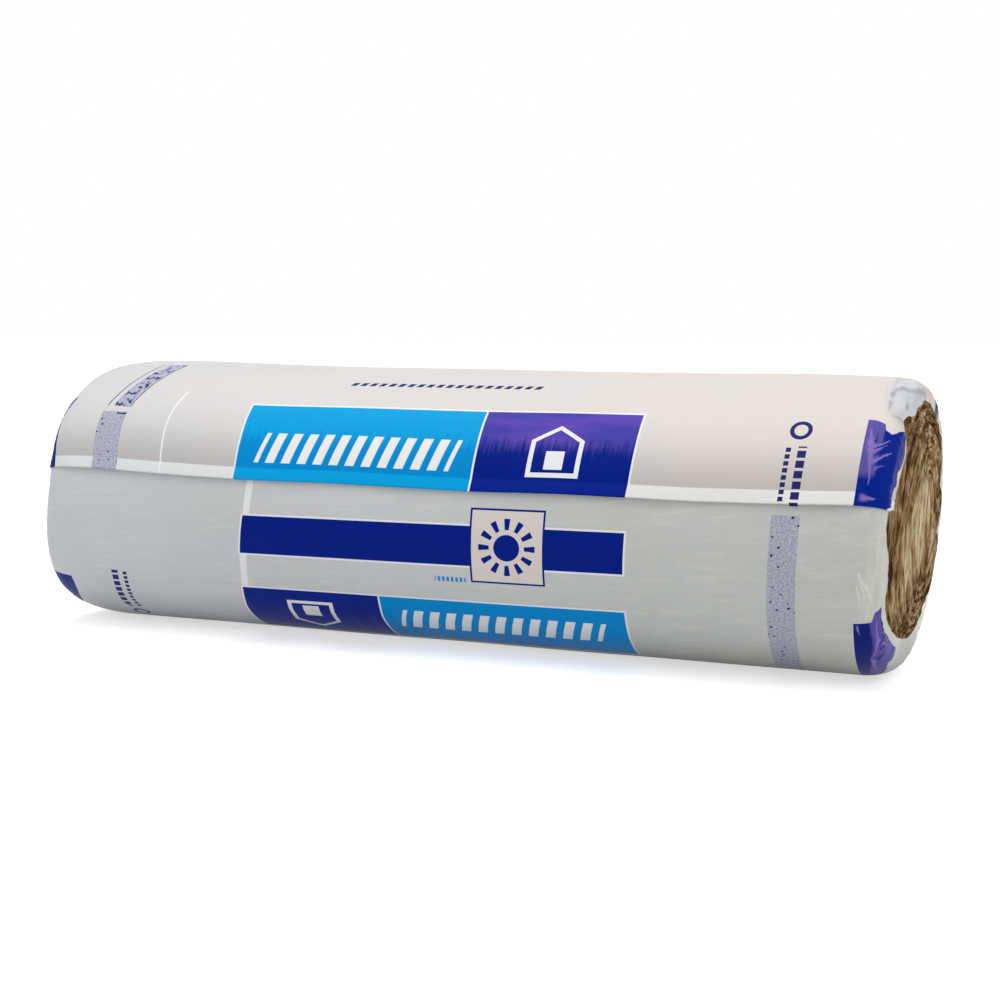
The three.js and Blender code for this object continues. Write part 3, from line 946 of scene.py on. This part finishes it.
# The bunch of gathered film at the top of the +X end: several plies, bluer than one, folded over.
BUNCH_AT = (0.588, 0.178, 0)
BUNCH_SIZE = (0.037, 0.066, 1)
from_bunch = {"Vector": creased, "Location": BUNCH_AT, "Scale": BUNCH_SIZE}
from_bunch = add(tree, "Mapping", from_bunch, vector_type="TEXTURE")
from_bunch = add(tree, "VectorMath", {0: from_bunch}, operation="LENGTH", output="Value")
folded = add(tree, "MapRange", {
    "Value": from_bunch, "From Min": 0.80, "From Max": 1.10, "To Min": 0.9, "To Max": 0.0,
})
colour = lay_ink(colour, FILM_FOLDED, folded)
colour = lay_creases(colour, FILM_SHADED, 1.0, (
    ((0.5553, 0.1560), (0.5600, 0.1720), 0.0060),
    ((0.5600, 0.1720), (0.5690, 0.1815), 0.0075),
    ((0.5690, 0.1815), (0.5880, 0.1880), 0.0085),
    ((0.5880, 0.1880), (0.6040, 0.2420), 0.0085),
    ((0.5590, 0.1420), (0.5640, 0.1330), 0.0050),
    ((0.5860, 0.1560), (0.5960, 0.1400), 0.0050),
), strength=0.85, taper=0.0)

# Below the seam the film is gathered towards the +X hem: it lies loose there, in soft pleats about
# 6 mm apart, which end in a few sharp creases above the ink. Their pale streaks are painted highlight.
pleats_at = add(tree, "Mapping", {
    "Vector": flat, "Rotation": (0, 0, math.radians(-8)), "Scale": (0.006, 0.060, 1),
}, vector_type="TEXTURE")
pleats = add(tree, "TexNoise", {"Vector": pleats_at, "Scale": 1.0, "Detail": 2.0})
pleats = add(tree, "MapRange", {
    "Value": pleats, "From Min": 0.35, "From Max": 0.70, "To Min": 0.05, "To Max": 0.42,
})
pleats_start = drawn_line(round_roll_by, (
    (0.960, 0.600), (1.000, 0.556), (1.045, 0.547), (1.080, 0.554), (1.115, 0.564), (1.147, 0.573),
    (1.200, 0.585),
))
past_start = add(tree, "Math", {0: along_roll, 1: pleats_start}, operation="SUBTRACT")
pleated = add(tree, "MapRange", {"Value": past_start, "From Min": -0.003, "From Max": 0.012})
bare = add(tree, "Math", {0: 1.0, 1: lower_patch}, operation="SUBTRACT")
colour = lay_ink(colour, FILM_PLEATED, pleated, pleats, bare)
# Painted highlight along a few sharp creases.
colour = lay_creases(colour, FILM_PLEATED, bare, (
    ((0.5455, 1.0743), (0.5597, 1.0423), 0.0030),
    ((0.5523, 1.0669), (0.5684, 1.0373), 0.0026),
    ((0.5588, 1.0617), (0.5752, 1.0292), 0.0024),
    ((0.5445, 1.0600), (0.5530, 1.0250), 0.0024),
), strength=0.8)

# Round the far side of the +X end the film stands a little off the wool and looks whiter.
whiter = drawn_line(round_roll_by, (
    (0.0, 1.0), (0.600, 1.0), (0.670, 1.45), (0.760, 1.45), (0.860, 1.45), (0.940, 1.0), (FLAT_LENGTH, 1.0),
))
on_face = add(tree, "MapRange", {"Value": along_roll, "From Min": 0.568, "From Max": 0.596})
whitened = add(tree, "VectorMath", {0: colour, "Scale": whiter}, operation="SCALE")
colour = lay_ink(colour, whitened, on_face, bare)

# Painted shadow: the film is darkened along the line that it lies on, where it meets the floor.
FLOOR_LINE = 0.825
from_floor = add(tree, "Math", {0: round_roll_by, 1: FLOOR_LINE}, operation="SUBTRACT")
from_floor = add(tree, "Math", {0: from_floor}, operation="ABSOLUTE")
contact_shadow = add(tree, "MapRange", {
    "Value": from_floor, "From Min": 0.030, "From Max": 0.085, "To Min": 0.68, "To Max": 1.0,
})
colour = add(tree, "VectorMath", {0: colour, "Scale": contact_shadow}, operation="SCALE")

tree.links.new(colour, shader.inputs["Base Color"])

# Wrinkles: long ones 11 mm apart round the roll, finer ones 3.5 mm apart, and gathers across
# them where the hems are drawn in.
pulled_at = add(tree, "Mapping", {
    "Vector": flat, "Rotation": (0, 0, math.radians(3)), "Scale": (0.011, 0.16, 1),
}, vector_type="TEXTURE")
pulled = add(tree, "TexNoise", {
    "Vector": pulled_at, "Scale": 1.0, "Detail": 3.0, "Roughness": 0.5, "Distortion": 0.6,
})
fine_at = add(tree, "Mapping", {"Vector": flat, "Scale": (1 / 0.0035, 1 / 0.05, 1)})
fine = add(tree, "TexNoise", {"Vector": fine_at, "Scale": 1.0, "Detail": 2.0})
gather_at = add(tree, "Mapping", {
    "Vector": flat, "Rotation": (0, 0, math.radians(-30)), "Scale": (0.028, 0.007, 1),
}, vector_type="TEXTURE")
gather = add(tree, "TexNoise", {
    "Vector": gather_at, "Scale": 1.0, "Detail": 3.0, "Roughness": 0.55, "Distortion": 0.8,
})
from_middle = add(tree, "Math", {0: along_roll}, operation="ABSOLUTE")
at_hem = add(tree, "MapRange", {"Value": from_middle, "From Min": 0.54, "From Max": 0.58})
relief = add(tree, "Math", {0: fine, 1: 0.25, 2: pulled}, operation="MULTIPLY_ADD")
relief = add(tree, "Mix", {0: at_hem, 2: relief, 3: gather})
bump = add(tree, "Bump", {"Height": relief, "Strength": 0.5, "Distance": 0.0022})
tree.links.new(bump, shader.inputs["Normal"])
film.data.materials.append(printed_film)

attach(film, "root")
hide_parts("film_sleeve")


# ---- Floor and light ---------------------------------------------------------------------
# A plain white studio floor that runs on to the backdrop, with a softbox and a wide bounce
# overhead and a weak fill beside the open end.

bm = bmesh.new()
bmesh.ops.create_grid(bm, x_segments=1, y_segments=1, size=20)
floor = finished("floor", bm)


def seen_directly(tree):
    """1 for the camera's own rays and those mirrored or let through, and 0 for stray light."""
    ray = add(tree, "LightPath").node.outputs
    mirrored = {0: ray["Is Glossy Ray"], 1: ray["Is Transmission Ray"]}
    mirrored = add(tree, "Math", mirrored, operation="MAXIMUM")
    return add(tree, "Math", {0: ray["Is Camera Ray"], 1: mirrored}, operation="MAXIMUM")


# White studio floor, that itself glows where it is seen, so that it burns out like the backdrop.
studio_floor, tree, shader = new_material("white_studio_floor", roughness=0.9, specular=0.0)
shader.inputs["Base Color"].default_value = paint("#e8e8e8")
shader.inputs["Emission Color"].default_value = (1, 1, 1, 1)
floor_at = add(tree, "TexCoord", output="Object")
far_out = add(tree, "VectorMath", {0: floor_at}, operation="LENGTH", output="Value")
backdrop = add(tree, "MapRange", {
    "Value": far_out, "From Min": 0.75, "From Max": 2.0, "To Min": 0.60, "To Max": 1.0,
})
white = add(tree, "Math", {0: seen_directly(tree), 1: backdrop}, operation="MULTIPLY")
tree.links.new(white, shader.inputs["Emission Strength"])
floor.data.materials.append(studio_floor)

world = bpy.data.worlds.new("studio")
bpy.context.scene.world = world
world.use_nodes = True
tree = world.node_tree
AMBIENT = 0.56
strength = add(tree, "Mix", {0: seen_directly(tree), 2: AMBIENT, 3: 1.0})
background = tree.nodes["Background"]
background.inputs["Color"].default_value = (1, 1, 1, 1)
tree.links.new(strength, background.inputs["Strength"])


def lamp(name, size, power, place, target):
    """A soft rectangular lamp that faces its target."""
    data = bpy.data.lights.new(name, "AREA")
    data.shape = "RECTANGLE"
    data.size, data.size_y = size
    data.energy = power
    made = put_in_scene(name, data)
    made.location = place
    made.rotation_euler = (Vector(place) - Vector(target)).to_track_quat("Z", "Y").to_euler()


lamp("overhead_softbox", (2.0, 1.4), 15, (-0.6, -0.7, 2.3), (0, 0, 0.2))
lamp("ceiling_bounce", (3.0, 2.0), 20, (0.0, 0.2, 2.4), (0, 0, 0.2))
lamp("end_fill", (1.2, 1.2), 10, (2.4, -0.5, 1.7), (0.5, 0, 0.2))

bpy.context.scene.view_settings.view_transform = "Standard"
